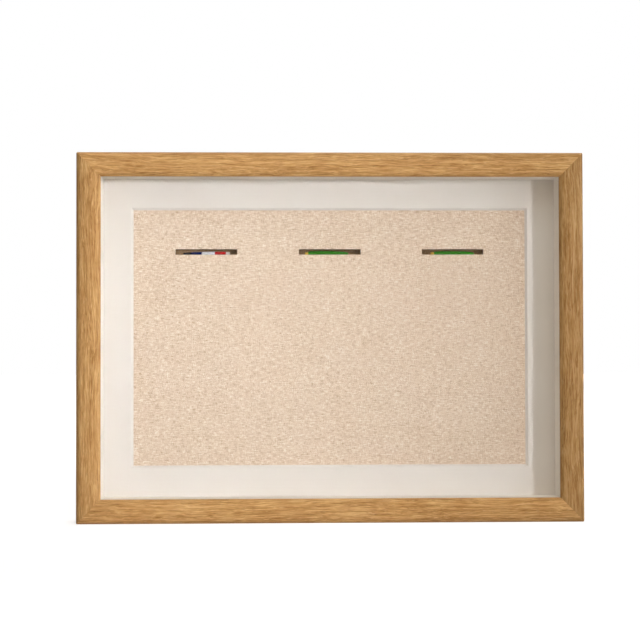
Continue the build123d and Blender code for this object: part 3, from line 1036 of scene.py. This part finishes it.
def folded_ribbon(side, material, slot, loft, crown, lean):
    """A ribbon folded in its slot: a small fold in front, and behind it the upper layer, lofted so far above
    the lower. crown is the share of the loft lost at the ends, lean what one end gains from the other."""
    node = f"ribbon_{side}"
    low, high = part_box(node)
    thickness = 0.4 * MM
    seat = 0.2 * MM
    layer_step = 0.8 * MM
    tail_step = 6.0 * MM
    fold_share = 0.6
    most_set_back = 0.2 * MM
    rise_run = 1.4 * MM
    rise_share = 0.86
    columns = 28

    board_back = board_high.y
    inner_bend = seat + thickness / 2
    outer_bend = inner_bend + layer_step
    inner_y = board_back + inner_bend
    outer_y = inner_y + layer_step
    floor_z = high.z - thickness - layer_step + thickness / 2
    tail_middle = (low.z + floor_z) / 2
    half = (high.x - low.x) / 2
    middle = (high.x + low.x) / 2
    points = []
    uvs = []
    for column in range(columns + 1):
        share = column / columns
        x = low.x + share * (high.x - low.x)
        out = (x - middle) / half
        gap = loft * (1 - crown * out ** 4) * (1 + lean * out)
        top = floor_z + gap
        fold_radius = fold_share * gap / 2
        wander = math.sin(2.3 * out + 0.6)
        set_back = most_set_back * (1 + wander) / 2
        front = low.y + thickness / 2 + fold_radius + set_back
        path = [(inner_y, low.z + tail_step), (inner_y, tail_middle), (inner_y, floor_z - inner_bend)]
        path += arc((board_back, floor_z - inner_bend), inner_bend, 0, 90, steps=5)[1:]
        path += arc((front, floor_z + fold_radius), fold_radius, 270, -180, steps=10)
        path += [(front + rise_run / 2, floor_z + rise_share * gap), (front + rise_run, top)]
        path += [(board_back - seat, top)]
        path += arc((outer_y - outer_bend, top - outer_bend), outer_bend, 90, -90, steps=7)
        path += [(outer_y, tail_middle), (outer_y, low.z)]
        run = 0.0
        previous = path[0]
        for place in path:
            run += math.dist(previous, place)
            previous = place
            points.append((x, *place))
            uvs.append((share, run))
    rows = len(path)
    starts = [column * rows + row for column in range(columns) for row in range(rows - 1)]
    faces = [(start, start + 1, start + rows + 1, start + rows) for start in starts]
    ribbon = piece_of_points(f"{slot}_{side}", points, faces, material, uvs)
    for polygon in ribbon.data.polygons:
        polygon.use_smooth = True
    body = ribbon.modifiers.new("thickness", "SOLIDIFY")
    body.thickness = thickness
    body.offset = 0
    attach(ribbon, "frame")
    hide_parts(node)


# Stage

WHITE = (1.0, 1.0, 1.0, 1.0)
WARM_WHITE = (1.0, 0.91, 0.82, 1.0)
PALE_GREY = (0.62, 0.61, 0.6, 1.0)
WIDEST_SPREAD = 180.0


def white_to_the_eye(tree):
    """A share that is 1 for rays from the camera, mirrors and glass, and 0 for light on the object."""
    rays = tree.add("ShaderNodeLightPath").outputs
    mirrored = tree.math("MAXIMUM", rays["Is Camera Ray"], rays["Is Glossy Ray"])
    return tree.math("MAXIMUM", mirrored, rays["Is Transmission Ray"])


def set_world(ambient):
    """Soft even light from all round, and a white background to the eye."""
    world = bpy.data.worlds.new("studio")
    world.use_nodes = True
    bpy.context.scene.world = world
    tree = NodeTree(world.node_tree)
    room = world.node_tree.nodes["Background"]
    tree.feed(room.inputs["Color"], WARM_WHITE)
    tree.feed(room.inputs["Strength"], ambient)
    white = tree.add("ShaderNodeBackground", {"Color": WHITE, "Strength": 1.0})
    choice = {0: white_to_the_eye(tree), 1: room.outputs[0], 2: white.outputs[0]}
    either = tree.add("ShaderNodeMixShader", choice)
    tree.feed(world.node_tree.nodes["World Output"].inputs["Surface"], either.outputs[0])


def lay_floor(half, near, far, near_lift, far_lift):
    """A plain pale floor that keeps the frame's shadow. To the eye it is lifted towards white: by near_lift
    up to near metres from the middle, and by far_lift from far metres on."""
    f = Finish("pale_floor", Roughness=0.9, Specular_IOR_Level=0.0)
    f.set(Base_Color=PALE_GREY, Emission_Color=WHITE)
    x, y, unused = f.split(f.place)
    away = f.math("SQRT", f.sum(f.times(x, x), f.times(y, y)))
    lift = f.span(away, near, far, near_lift, far_lift)
    f.set(Emission_Strength=f.times(white_to_the_eye(f), lift))
    corners = [(-half, -half, 0), (half, -half, 0), (half, half, 0), (-half, half, 0)]
    floor = piece_of_points("floor", corners, [(0, 1, 2, 3)], f.material)


def lamp(name, toward, distance, size, level, aim=(0.0, 0.0), spread=WIDEST_SPREAD, colour=WHITE[:3]):
    """A square soft lamp. toward is its azimuth and elevation from the frame's middle in degrees. It faces a
    point beside and above the middle by aim. level is how bright it makes a white face turned to it."""
    light = bpy.data.lights.new(name, "AREA")
    light.shape = "SQUARE"
    light.size = size
    light.color = colour
    light.spread = math.radians(spread)
    half_spread = math.radians(min(spread, 179.9)) / 2
    gain = math.tan(half_spread) / (math.tan(half_spread) - half_spread)
    light.energy = level / gain * math.pi ** 2 * distance ** 2
    azimuth, elevation = [math.radians(angle) for angle in toward]
    sideways = math.cos(elevation)
    outward = Vector((math.sin(azimuth) * sideways, -math.cos(azimuth) * sideways, math.sin(elevation)))
    holder = bpy.data.objects.new(name, light)
    holder.location = Vector((0.0, 0.0, centre_z)) + distance * outward
    holder.visible_camera = False
    backward = holder.location - Vector((aim[0], 0.0, centre_z + aim[1]))
    holder.rotation_euler = backward.to_track_quat("Z", "Y").to_euler()
    bpy.context.scene.collection.objects.link(holder)


# The whole object

bpy.context.scene.view_settings.view_transform = "Standard"
set_camera()

for node, material in {
    "glazing": GLAZING,
    "window_mat": MOUNT_WHITE,
    "slotted_board": BOARD_CORE_WITH_PAINTED_SHADE,
    "back_board": BACKING,
    "ribbon_tapes": TAPE,
    "corner_wedges": WEDGE_STEEL,
}.items():
    set_material(node, material)
for side in ("top", "bottom", "left", "right"):
    set_material(f"liner_{side}", LINER_WHITE_WITH_PAINTED_LIGHT)
    set_material(f"packing_{side}", PACKING)

screw_places = drive_screws()
fit_buttons()
fit_hangers_and_bumpers()
hang_mouldings(screw_places)
linen_sheet()
folded_ribbon("left", STRIPED_RIBBON, "striped_ribbon", loft=1.5 * MM, crown=0.4, lean=0.22)
folded_ribbon("centre", GREEN_RIBBON, "green_ribbon", loft=1.9 * MM, crown=0.5, lean=-0.1)
folded_ribbon("right", GREEN_RIBBON, "green_ribbon", loft=1.8 * MM, crown=0.45, lean=-0.05)

set_world(ambient=0.14)
lay_floor(half=4.0, near=0.35, far=0.9, near_lift=0.72, far_lift=1.0)
lamp("front_lamp", (0, 10), distance=2.0, size=1.6, level=0.15, colour=(1.0, 0.84, 0.68))
for height, level in ((-0.1, 0.68), (0.11, 0.71)):
    beam = {"aim": (-0.11, height), "spread": 15, "colour": (0.98, 1.0, 1.1)}
    lamp("near_lamp", (36, 4), distance=2.2, size=0.28, level=level, **beam)
lamp("high_lamp", (12, 50), distance=2.0, size=1.4, level=0.35)
lamp("right_lamp", (65, 5), distance=2.0, size=0.8, level=0.2, colour=(0.92, 1.0, 1.04))
lamp("back_lamp", (160, 35), distance=2.2, size=1.2, level=0.5)
